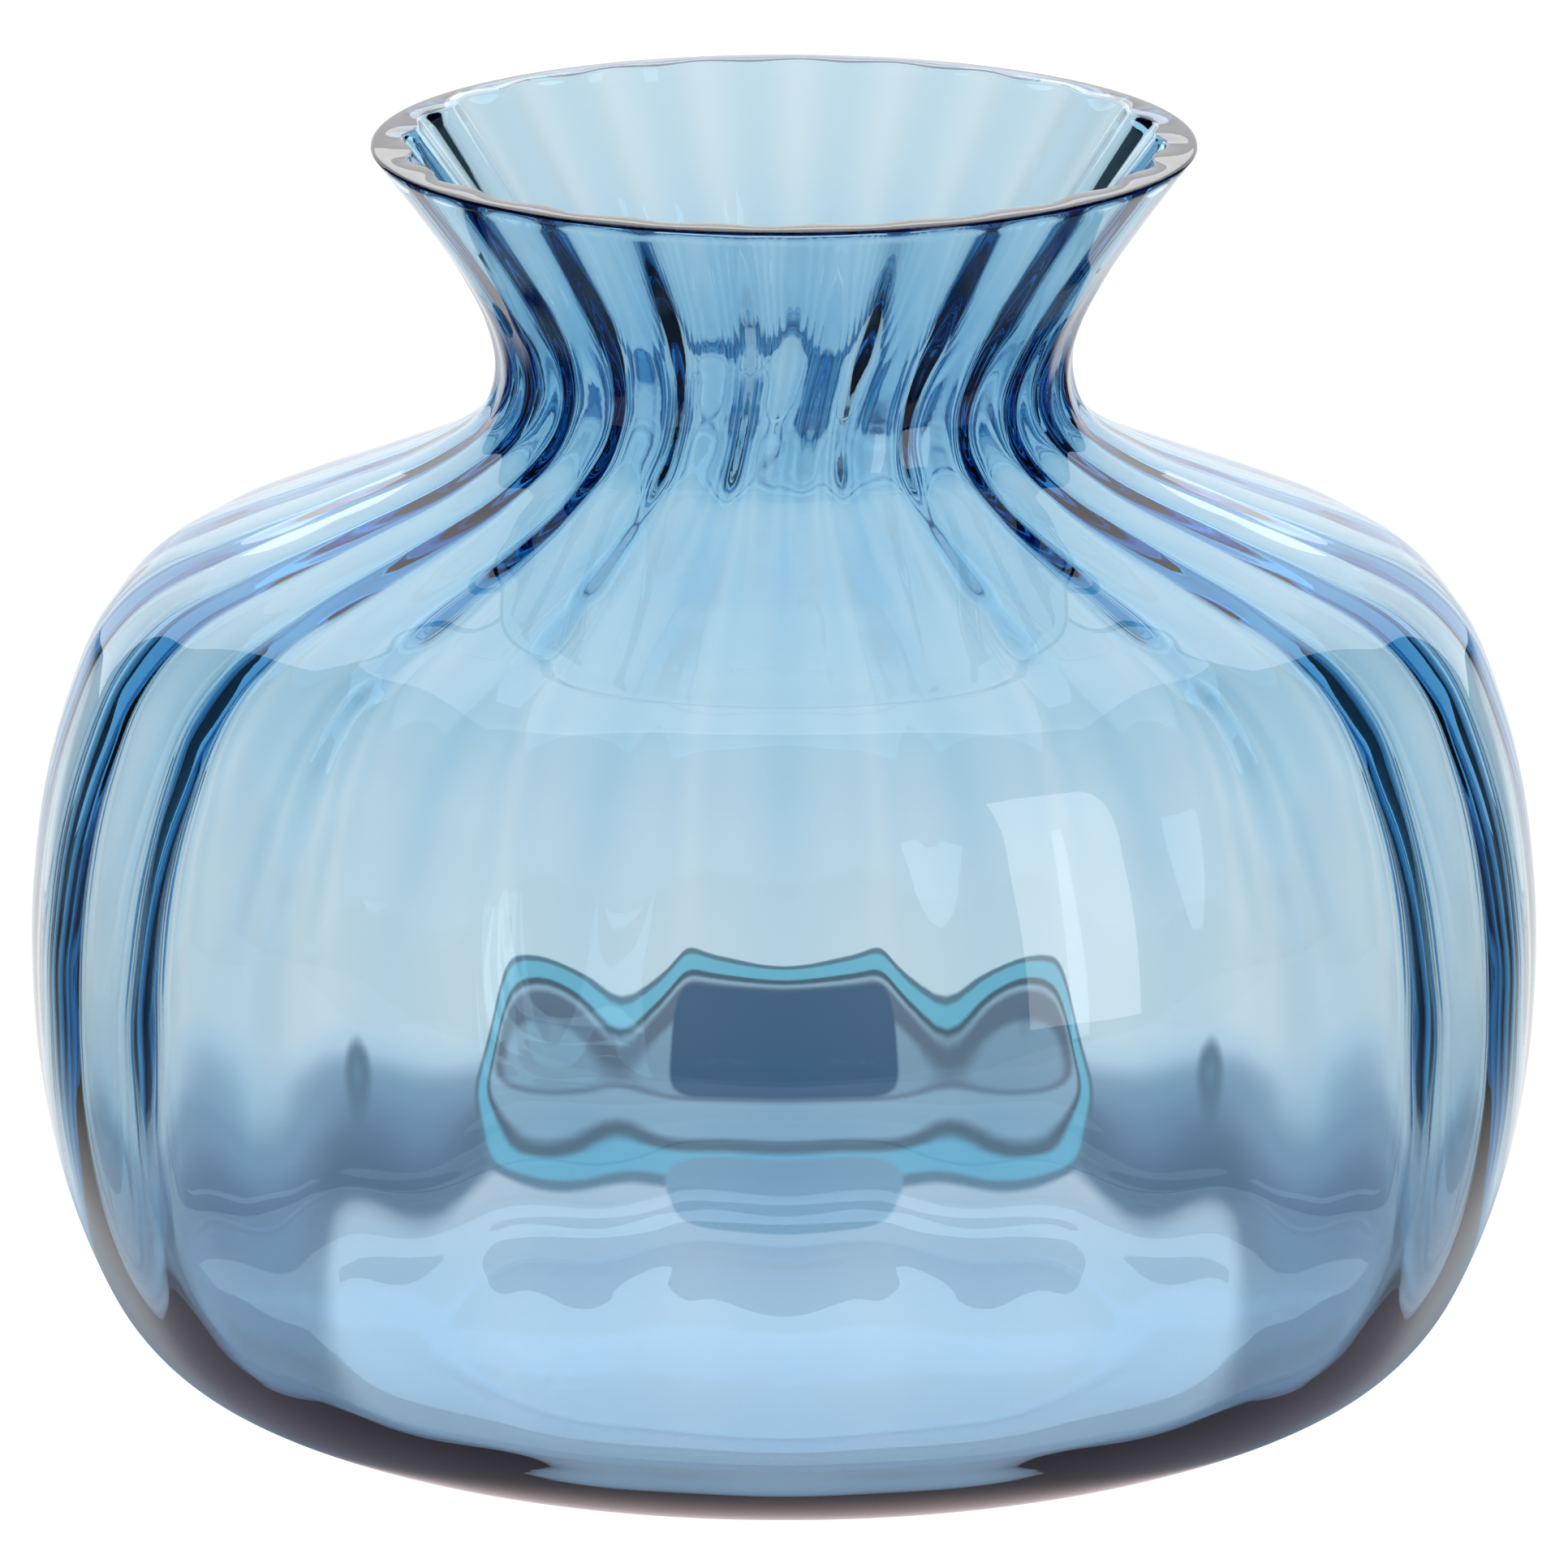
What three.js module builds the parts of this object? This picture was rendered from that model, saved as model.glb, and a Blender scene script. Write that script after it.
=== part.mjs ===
// Squat, wide-mouthed vase of one piece of optic-blown glass.
// Millimetres, +Z up, origin at the middle of the foot, front towards -Y.
import * as THREE from 'three';

const HEIGHT = 106;
const BELLY_RADIUS = 62.4;
const RIM_RADIUS = 33.9;
const RIM_WALL = 3.0;
const RIM_BEVEL = 0.3;
const FOOT_RADIUS = 31;
const FLOOR_THICKNESS = 3.4;

const RIBS = 24;
const RIB_STEPS = 4;
const BELLY_RIB = 0.6;
const NECK_RIB = 0.85;
const OUTER_RIB = 0.2;
const NECK_TWIST = THREE.MathUtils.degToRad(5.2);

const OUTER_ROWS = 26;
const INNER_ROWS = 24;

// Outside of the wall from the foot's edge to the rim, as radius and height.
const OUTSIDE = [
  [FOOT_RADIUS, 0],
  [41.0, 1.0],
  [47.3, 2.6],
  [52.1, 5.0],
  [55.3, 8.4],
  [58.2, 14.1],
  [60.5, 21.0],
  [61.9, 28.6],
  [BELLY_RADIUS, 37.0],
  [62.2, 43.5],
  [61.1, 52.0],
  [59.1, 59.4],
  [56.5, 65.4],
  [52.6, 69.5],
  [46.0, 72.7],
  [37.4, 76.2],
  [29.7, 79.6],
  [25.1, 82.9],
  [23.7, 86.8],
  [24.4, 91.0],
  [26.8, 95.8],
  [29.6, 99.9],
  [RIM_RADIUS, HEIGHT - RIM_BEVEL],
];

// Inside of the wall from the rim to the middle of the floor.
const INSIDE = [
  [RIM_RADIUS - RIM_WALL, HEIGHT - RIM_BEVEL],
  [26.7, 100.2],
  [23.1, 95.4],
  [20.4, 91.0],
  [19.4, 87.0],
  [20.6, 82.8],
  [26.7, 77.7],
  [36.4, 73.7],
  [45.3, 70.4],
  [51.5, 67.2],
  [55.2, 63.2],
  [57.7, 58.0],
  [59.7, 51.7],
  [60.9, 43.5],
  [61.0, 37.0],
  [60.5, 28.6],
  [58.9, 20.8],
  [56.4, 14.4],
  [53.2, 9.4],
  [48.8, 6.2],
  [43.0, 4.6],
  [35.0, 3.9],
  [20.0, 3.5],
  [0, FLOOR_THICKNESS],
];

// Evenly spaced stations along a smooth curve through the given points.
function stations(points, rows) {
  const vectors = points.map(([r, z]) => new THREE.Vector3(r, z, 0));
  const curve = new THREE.CatmullRomCurve3(vectors, false, 'centripetal');
  return curve.getSpacedPoints(rows).map((p) => new THREE.Vector2(Math.max(p.x, 0), p.y));
}

// Ribs inside: deeper in the neck than in the belly, where blowing stretched them, and least at front and back.
function innerRib(z, r, phi) {
  const neck = THREE.MathUtils.smoothstep(z, 50, 74);
  const uneven = 1 + (0.9 * Math.abs(Math.sin(phi)) ** 3 - 0.55) * (1 - neck);
  const rise = THREE.MathUtils.smoothstep(z, 4, 34);
  return THREE.MathUtils.lerp(BELLY_RIB, NECK_RIB, neck) * uneven * rise * Math.min(1, r / 20);
}

// Ribs outside: faint, gone at the foot and at the ground rim.
function outerRib(z) {
  return OUTER_RIB * THREE.MathUtils.smoothstep(z, 4, 34) * (1 - THREE.MathUtils.smoothstep(z, 94, 105));
}

function vaseProfile() {
  const outside = stations(OUTSIDE, OUTER_ROWS);
  const inside = stations(INSIDE, INNER_ROWS);
  const foot = [new THREE.Vector2(0, 0)];
  const rim = [new THREE.Vector2(RIM_RADIUS - RIM_BEVEL, HEIGHT),
    new THREE.Vector2(RIM_RADIUS - RIM_WALL + RIM_BEVEL, HEIGHT)];
  return { points: [...foot, ...outside, ...rim, ...inside], firstInside: foot.length + outside.length + 1 };
}

// A rib thickens the wall, mostly inwards; the foot and floor stay round, and the ribs turn a little in the neck.
function pressRibs(geometry, rows, firstInside) {
  const position = geometry.attributes.position;
  const point = new THREE.Vector3();
  for (let i = 0; i < position.count; i += 1) {
    point.fromBufferAttribute(position, i);
    const r = Math.hypot(point.x, point.z);
    if (r > 0) {
      const phi = Math.atan2(point.x, point.z);
      const depth = i % rows >= firstInside ? -innerRib(point.y, r, phi) : outerRib(point.y);
      const ribbed = r + 0.5 * depth * Math.cos(RIBS * phi);
      const turned = phi + NECK_TWIST * THREE.MathUtils.smoothstep(point.y, 79, 97);
      position.setXYZ(i, ribbed * Math.sin(turned), point.y, ribbed * Math.cos(turned));
    }
  }
}

function vaseBody() {
  const { points, firstInside } = vaseProfile();
  const geometry = new THREE.LatheGeometry(points, RIBS * RIB_STEPS);
  pressRibs(geometry, points.length, firstInside);
  geometry.rotateX(Math.PI / 2);
  geometry.computeVertexNormals();
  const glass = new THREE.MeshStandardMaterial({ color: 0x6fa3c4, roughness: 0.05, metalness: 0 });
  const mesh = new THREE.Mesh(geometry, glass);
  mesh.name = 'vase_body';
  return mesh;
}

const vase = new THREE.Group();
vase.name = 'optic_vase';
vase.add(vaseBody());

export default vase;
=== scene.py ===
"""Blown optic glass vase: squat ribbed belly, narrow neck and flared rim, on a pale studio floor; shadows and
light are painted on a table that the camera sees only in the glass.
"""
import math
import bmesh
import bpy
import numpy as np
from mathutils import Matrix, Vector


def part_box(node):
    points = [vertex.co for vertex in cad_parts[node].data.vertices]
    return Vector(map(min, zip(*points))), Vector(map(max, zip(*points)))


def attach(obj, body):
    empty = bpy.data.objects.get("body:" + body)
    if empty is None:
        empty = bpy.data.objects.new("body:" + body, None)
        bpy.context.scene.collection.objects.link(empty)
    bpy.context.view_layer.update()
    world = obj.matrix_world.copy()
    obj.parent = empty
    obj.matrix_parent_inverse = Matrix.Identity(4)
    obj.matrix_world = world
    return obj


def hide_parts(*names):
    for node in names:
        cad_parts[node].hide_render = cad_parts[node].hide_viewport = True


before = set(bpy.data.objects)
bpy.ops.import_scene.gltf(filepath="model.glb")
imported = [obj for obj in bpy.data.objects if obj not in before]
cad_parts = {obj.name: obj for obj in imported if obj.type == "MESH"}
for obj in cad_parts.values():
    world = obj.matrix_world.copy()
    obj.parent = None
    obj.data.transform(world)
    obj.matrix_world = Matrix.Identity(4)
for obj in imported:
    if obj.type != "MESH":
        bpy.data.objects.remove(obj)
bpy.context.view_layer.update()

LOW, HIGH = [Vector(c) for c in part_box("vase_body")]
CENTRE = (LOW + HIGH) / 2
HEIGHT = HIGH.z - LOW.z
BELLY = (HIGH.x - LOW.x) / 2
CREST = 106.0                            # height of the outline below, mm
WIDEST = 62.52                           # a hair over its widest radius, mm, to stay in the CAD's box
MM_R = BELLY / WIDEST                    # one millimetre of the outline, in metres, across
MM_Z = HEIGHT / CREST                    # and up

# ---------------------------------------------------------------- the wall's outline, (radius, height) in mm
# Most points of OUTSIDE come from a fit to the photo's silhouette, rounded. INSIDE is guessed.
OUTSIDE = [(31, 0), (41, 1.0), (47.3, 2.6), (52.1, 5.0), (55.3, 8.4), (58.2, 14.1), (60.5, 21), (61.9, 28.6),
           (62.4, 37), (62.2, 43.5), (61.1, 52), (59.1, 59.4), (56.5, 65.4), (52.6, 69.5), (46, 72.7),
           (37.4, 76.2), (29.7, 79.6), (25.1, 82.9), (23.7, 86.8), (24.4, 91), (26.8, 95.8), (29.6, 99.9),
           (33.9, 105.7)]
INSIDE = [(30.9, 105.7), (26.7, 100.2), (23.1, 95.4), (20.4, 91), (19.4, 87), (20.6, 82.8), (26.7, 77.7),
          (36.4, 73.7), (45.3, 70.4), (51.5, 67.2), (55.2, 63.2), (57.7, 58.0), (59.7, 51.7), (60.9, 43.5),
          (61.0, 37), (60.5, 28.6), (58.9, 20.8), (56.4, 14.4), (53.2, 9.4), (48.8, 6.2), (43, 4.6),
          (35, 3.9), (20, 3.5), (0, 3.4)]
RIBS = 24
INNER_RIB = [(4, 0.0), (22, 0.12), (36, 0.5), (50, 0.6), (62, 0.85), (72, 1.0), (80, 0.85),
             (92, 0.7), (106, 0.85)]
OUTER_RIB = [(4, 0.0), (15, 0.08), (30, 0.2), (60, 0.2), (94, 0.2), (105, 0.0)]
TWIST = 5.2                              # degrees that the ribs turn through the neck
TWIST_FROM, TWIST_TO = 79.0, 97.0
AROUND = 384                             # facets round the vase
ROWS = 180                               # rings up each side of the wall
BEVEL = 0.3                              # rounding of the rim's edges, mm

GLASS = dict(ior=1.52, absorb=(0.0, 0.53, 0.78), density=195.0)


def smooth_line(points, steps):
    """Centripetal Catmull-Rom curve through the points."""
    p = np.array(points, float)
    p = np.vstack([2 * p[0] - p[1], p, 2 * p[-1] - p[-2]])
    out = []
    for i in range(1, len(p) - 2):
        p0, p1, p2, p3 = p[i - 1:i + 3]
        d = [max(np.linalg.norm(b - a), 1e-6) ** 0.5 for a, b in ((p0, p1), (p1, p2), (p2, p3))]
        m1 = ((p1 - p0) / d[0] - (p2 - p0) / (d[0] + d[1]) + (p2 - p1) / d[1]) * d[1]
        m2 = ((p2 - p1) / d[1] - (p3 - p1) / (d[1] + d[2]) + (p3 - p2) / d[2]) * d[1]
        for t in np.linspace(0, 1, steps, endpoint=False):
            out.append((2*t**3 - 3*t**2 + 1) * p1 + (t**3 - 2*t**2 + t) * m1
                       + (-2*t**3 + 3*t**2) * p2 + (t**3 - t**2) * m2)
    return np.array(out + [p[-2]])


def even(line, count):
    """The same line with points at equal spacing."""
    run = np.r_[0, np.cumsum(np.linalg.norm(np.diff(line, axis=0), axis=1))]
    at = np.linspace(0, run[-1], count)
    return np.c_[np.interp(at, run, line[:, 0]), np.interp(at, run, line[:, 1])]


def depth(z, table):
    return float(np.interp(z, [row[0] for row in table], [row[1] for row in table]))


def uneven(z, phi):
    """Inner ribs of the belly: deeper at the sides than at front and back. Fitted, not measured."""
    return 1 + (0.9 * np.abs(np.sin(phi)) ** 3 - 0.55) * min(1.0, max(0.0, (72 - z) / 20))


def twist(z):
    t = min(1.0, max(0.0, (z - TWIST_FROM) / (TWIST_TO - TWIST_FROM)))
    return math.radians(TWIST) * t * t * (3 - 2 * t)


def wall_rows():
    """Rings of the whole wall, from the middle of the foot, up the outside, over the rim and down inside."""
    phi = np.arange(AROUND) * 2 * math.pi / AROUND
    outer = even(smooth_line(OUTSIDE, 12), ROWS)
    inner = even(smooth_line(INSIDE, 12), ROWS)
    rows = [(np.full(AROUND, r), 0.0, phi) for r in (8.0, 16.0, 24.0, 29.0)]
    for r, z in outer:
        rows.append((r + depth(z, OUTER_RIB) / 2 * np.cos(RIBS * (phi - twist(z))), z, phi))
    rim_out, rim_in = outer[-1][0] - BEVEL, inner[0][0] + BEVEL

    def rim(r, side, table):
        return r + side * depth(CREST, table) / 2 * np.cos(RIBS * (phi - twist(CREST)))

    for k in (0.35, 0.7, 1.0):
        a = k * math.pi / 2
        z = CREST - BEVEL * (1 - math.sin(a))
        rows.append((rim(rim_out + BEVEL * math.cos(a), 1, OUTER_RIB), z, phi))
    for k in (1.0, 0.7, 0.35):
        a = k * math.pi / 2
        z = CREST - BEVEL * (1 - math.sin(a))
        rows.append((rim(rim_in - BEVEL * math.cos(a), -1, INNER_RIB), z, phi))
    for r, z in inner:
        if r > 0.8:
            rows.append((r - depth(z, INNER_RIB) / 2 * min(1, r / 20) * np.cos(RIBS * (phi - twist(z)))
                         * uneven(z, phi), z, phi))
    return rows, inner[-1][1]


def make_vase():
    rows, floor_z = wall_rows()
    verts = [(0.0, 0.0, 0.0)]
    for radius, z, phi in rows:
        for r, a in zip(radius, phi):
            verts.append((r * MM_R * math.sin(a), -r * MM_R * math.cos(a), z * MM_Z))
    verts.append((0.0, 0.0, floor_z * MM_Z))
    verts = [(x + CENTRE.x, y + CENTRE.y, z + LOW.z) for x, y, z in verts]
    faces = []
    last = len(verts) - 1
    for j in range(AROUND):
        k = (j + 1) % AROUND
        faces.append((0, 1 + k, 1 + j))
        for row in range(len(rows) - 1):
            a, b = 1 + row * AROUND, 1 + (row + 1) * AROUND
            faces.append((a + j, a + k, b + k, b + j))
        top = 1 + (len(rows) - 1) * AROUND
        faces.append((last, top + j, top + k))
    mesh = bpy.data.meshes.new("vase_glass")
    mesh.from_pydata(verts, [], faces)
    vase = bpy.data.objects.new("vase_glass", mesh)
    bpy.context.scene.collection.objects.link(vase)
    bm = bmesh.new()
    bm.from_mesh(mesh)
    bmesh.ops.recalc_face_normals(bm, faces=bm.faces)
    for face in bm.faces:
        face.smooth = True
    bm.to_mesh(mesh)
    bm.free()
    return vase


def glass_material():
    mat = bpy.data.materials.new("blue_glass")
    mat.use_nodes = True
    nt = mat.node_tree
    bsdf = nt.nodes["Principled BSDF"]
    bsdf.inputs["Base Color"].default_value = (1, 1, 1, 1)
    bsdf.inputs["Transmission Weight"].default_value = 1
    bsdf.inputs["Roughness"].default_value = 0.0
    bsdf.inputs["IOR"].default_value = GLASS["ior"]
    soak = nt.nodes.new("ShaderNodeVolumeAbsorption")
    soak.inputs["Color"].default_value = (*GLASS["absorb"], 1)
    soak.inputs["Density"].default_value = GLASS["density"]
    nt.links.new(soak.outputs[0], nt.nodes["Material Output"].inputs["Volume"])
    return mat


# ---------------------------------------------------------------- studio
def matt(name, colour, glow=0.0):
    mat = bpy.data.materials.new(name)
    mat.use_nodes = True
    bsdf = mat.node_tree.nodes["Principled BSDF"]
    bsdf.inputs["Base Color"].default_value = (*colour, 1)
    bsdf.inputs["Roughness"].default_value = 0.7
    bsdf.inputs["Specular IOR Level"].default_value = 0.2
    bsdf.inputs["Emission Color"].default_value = (1, 1, 1, 1)
    bsdf.inputs["Emission Strength"].default_value = glow
    return mat


def plane(name, size, where, look, mat):
    bpy.ops.mesh.primitive_plane_add(size=1, location=where)
    obj = bpy.context.object
    obj.name = name
    obj.scale = (size[0], size[1], 1)
    away = (Vector(look) - Vector(where)).normalized()
    obj.rotation_mode = "QUATERNION"
    obj.rotation_quaternion = away.to_track_quat("-Z", "Y")
    obj.data.materials.append(mat)
    obj.visible_camera = False           # lights and reflections only, so no view is blocked
    return obj


def softbox(name, size, where, look, power):
    light = bpy.data.lights.new(name, "AREA")
    light.shape = "RECTANGLE"
    light.size, light.size_y = size
    light.energy = power
    obj = bpy.data.objects.new(name, light)
    obj.location = where
    obj.rotation_mode = "QUATERNION"
    obj.rotation_quaternion = (Vector(look) - Vector(where)).to_track_quat("-Z", "Y")
    bpy.context.scene.collection.objects.link(obj)
    return obj


vase = make_vase()
vase.data.materials.append(glass_material())
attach(vase, "root")
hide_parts("vase_body")

DARK = (0.02, 0.02, 0.02)
TABLE_Z = LOW.z - 0.0008                 # a hair under the foot


class TableShade:
    """Paints light and shade into the table's glow by position: soft-edged rounded shapes laid one over
    another, sizes in mm.
    """

    def __init__(self, mat, colour):
        self.nt = mat.node_tree
        where = self.nt.nodes.new("ShaderNodeNewGeometry")
        split = self.nt.nodes.new("ShaderNodeSeparateXYZ")
        self.nt.links.new(where.outputs["Position"], split.inputs[0])
        self.x = self.math("ABSOLUTE", split.outputs["X"])
        self.y = split.outputs["Y"]
        rgb = self.nt.nodes.new("ShaderNodeRGB")
        rgb.outputs[0].default_value = (*colour, 1)
        self.colour = rgb.outputs[0]
        self.bsdf = self.nt.nodes["Principled BSDF"]

    def math(self, kind, *values):
        node = self.nt.nodes.new("ShaderNodeMath")
        node.operation = kind
        for k, value in enumerate(values):
            if isinstance(value, (int, float)):
                node.inputs[k].default_value = value
            else:
                self.nt.links.new(value, node.inputs[k])
        return node.outputs[0]

    def lay(self, mask, colour):
        mix = self.nt.nodes.new("ShaderNodeMix")
        mix.data_type = "RGBA"
        self.nt.links.new(mask, mix.inputs[0])
        self.nt.links.new(self.colour, mix.inputs[6])
        mix.inputs[7].default_value = (*colour, 1)
        self.colour = mix.outputs[2]

    def ramp(self, value, start, end):
        node = self.nt.nodes.new("ShaderNodeMapRange")
        node.interpolation_type = "SMOOTHSTEP"
        self.nt.links.new(value, node.inputs["Value"])
        node.inputs["From Min"].default_value = start
        node.inputs["From Max"].default_value = end
        return node.outputs[0]

    def oval(self, half_x, half_y, middle_y, colour, power=2.0, taper=0.0, soft=0.03):
        """Superellipse; taper narrows it, as a share of its width, per half-length away from the vase."""
        along = self.math("DIVIDE", self.math("SUBTRACT", self.y, middle_y * 0.001), half_y * 0.001)
        width = self.math("MULTIPLY_ADD", along, -taper * half_x * 0.001, half_x * 0.001)
        across = self.math("POWER", self.math("ABSOLUTE", self.math("DIVIDE", self.x, width)), power)
        total = self.math("ADD", across, self.math("POWER", self.math("ABSOLUTE", along), power))
        reach = self.math("POWER", total, 1 / power)
        self.lay(self.math("SUBTRACT", 1.0, self.ramp(reach, 1 - soft, 1 + soft)), colour)

    def finish(self):
        self.nt.links.new(self.colour, self.bsdf.inputs["Emission Color"])
        self.bsdf.inputs["Emission Strength"].default_value = 1.0


plane("backdrop", (2.3, 2.0), (0, 1.6, 0.8), (0, 0, 0.8), matt("backdrop_white", DARK, 1.2))
plane("top_panel", (1.0, 0.9), (0, 0.47, 1.1), (0, 0.47, 0), matt("top_white", DARK, 1.0))
# The table glows with painted shadows and painted light, laid on below; the camera sees it only in the glass.
table_painted_light_and_shade = matt("table_painted_light_and_shade", DARK)
shade = TableShade(table_painted_light_and_shade, (0.95, 0.95, 0.95))
fan = shade.math("MULTIPLY_ADD", shade.y, -0.35, shade.x)       # painted light: the table bright in a fan widening behind the vase, dark beside it
shade.lay(shade.ramp(fan, 0.055, 0.12), (0.045, 0.03, 0.025))
# painted shade: the table darker in front of the vase
shade.lay(shade.ramp(shade.math("MULTIPLY", shade.y, -1.0), -0.03, 0.03), (0.42, 0.40, 0.52))
# Placed and coloured until the render looked like the photo. Painted shadow of the belly on the table, with
# painted light under the vase.
shade.oval(80, 66, 40, (0.78, 0.86, 0.92), soft=0.14)
shade.oval(72, 57, 36, (0.36, 0.46, 0.57), soft=0.14)
shade.oval(60, 62, 18, (0.22, 0.30, 0.40), soft=0.12)
shade.oval(46, 62, 12, (0.16, 0.22, 0.30), power=2.6, soft=0.08)
shade.oval(39, 56, 6, (1.02, 0.84, 0.84), power=2.5, soft=0.06)
shade.oval(32, 24, -26, (0.86, 0.71, 0.74), soft=0.35)
# Painted shadow of the neck on the table, seen through the front of the belly.
shade.oval(28.4, 50.0, 98.0, (0.17, 0.26, 0.32), power=3.0, taper=0.25, soft=0.02)
shade.oval(27.2, 46.8, 97.8, (0.26, 0.62, 0.74), power=3.0, taper=0.25, soft=0.02)
shade.oval(24.8, 39.5, 96.5, (0.10, 0.15, 0.19), power=3.0, taper=0.25, soft=0.02)
shade.oval(23.8, 36.5, 96.3, (0.46, 0.56, 0.64), power=3.0, taper=0.25, soft=0.03)
shade.oval(22.4, 29.5, 101.0, (0.19, 0.22, 0.28), power=2.8, taper=0.25, soft=0.05)
shade.oval(20.0, 22, 95, (0.36, 0.46, 0.54), power=2.8, taper=0.20, soft=0.08)
shade.oval(13.5, 28, 101, (0.070, 0.14, 0.24), power=4, soft=0.05)
# painted shade on the table under the back of the vase
shade.oval(12.0, 10, 46, (0.34, 0.46, 0.56), power=3, taper=-0.25, soft=0.05)
shade.finish()
plane("table", (2.4, 2.0), (0, 0.6, TABLE_Z), (0, 0.6, -1), table_painted_light_and_shade)
floor = plane("floor", (6, 6), (0, 1.0, TABLE_Z - 0.0002), (0, 1.0, -1), matt("floor_white", DARK, 1.05))
floor.visible_camera = True
for kind in ("diffuse", "glossy", "transmission", "volume_scatter", "shadow"):
    setattr(floor, "visible_" + kind, False)


softbox("key", (0.22, 0.9), (0.80, -0.80, 0.40), (0, 0, 0.05), 1.6)
plane("rim_light", (0.9, 0.16), (0, 1.58, 0.55), (0, 0, 0.55), matt("rim_white", DARK, 2.2))
plane("strip", (0.9, 0.03), (0, 0.04, 1.1), (0, 0.04, 0), matt("strip_white", DARK, 3.0))

world = bpy.data.worlds.new("studio")
bpy.context.scene.world = world
world.use_nodes = True
world.node_tree.nodes["Background"].inputs["Color"].default_value = (1, 1, 1, 1)
world.node_tree.nodes["Background"].inputs["Strength"].default_value = 0.03

# ---------------------------------------------------------------- camera
# The pitch was fitted to the rim in the photo, at an assumed distance of 20 belly radii.
PITCH = math.radians(14.925)
DISTANCE = 1.2482
target = Vector((CENTRE.x, CENTRE.y, LOW.z + 0.05145))
cam = bpy.data.cameras.new("camera")
cam.sensor_width = 36
cam.lens = 345.8
cam.clip_end = 50
camera = bpy.data.objects.new("camera", cam)
forward = Vector((0, math.cos(PITCH), -math.sin(PITCH)))
camera.location = target - forward * DISTANCE
camera.rotation_mode = "QUATERNION"
camera.rotation_quaternion = forward.to_track_quat("-Z", "Y")
bpy.context.scene.collection.objects.link(camera)
bpy.context.scene.camera = camera

scene = bpy.context.scene
scene.view_settings.view_transform = "Standard"
scene.cycles.max_bounces = 24
scene.cycles.transmission_bounces = 24
scene.cycles.glossy_bounces = 16
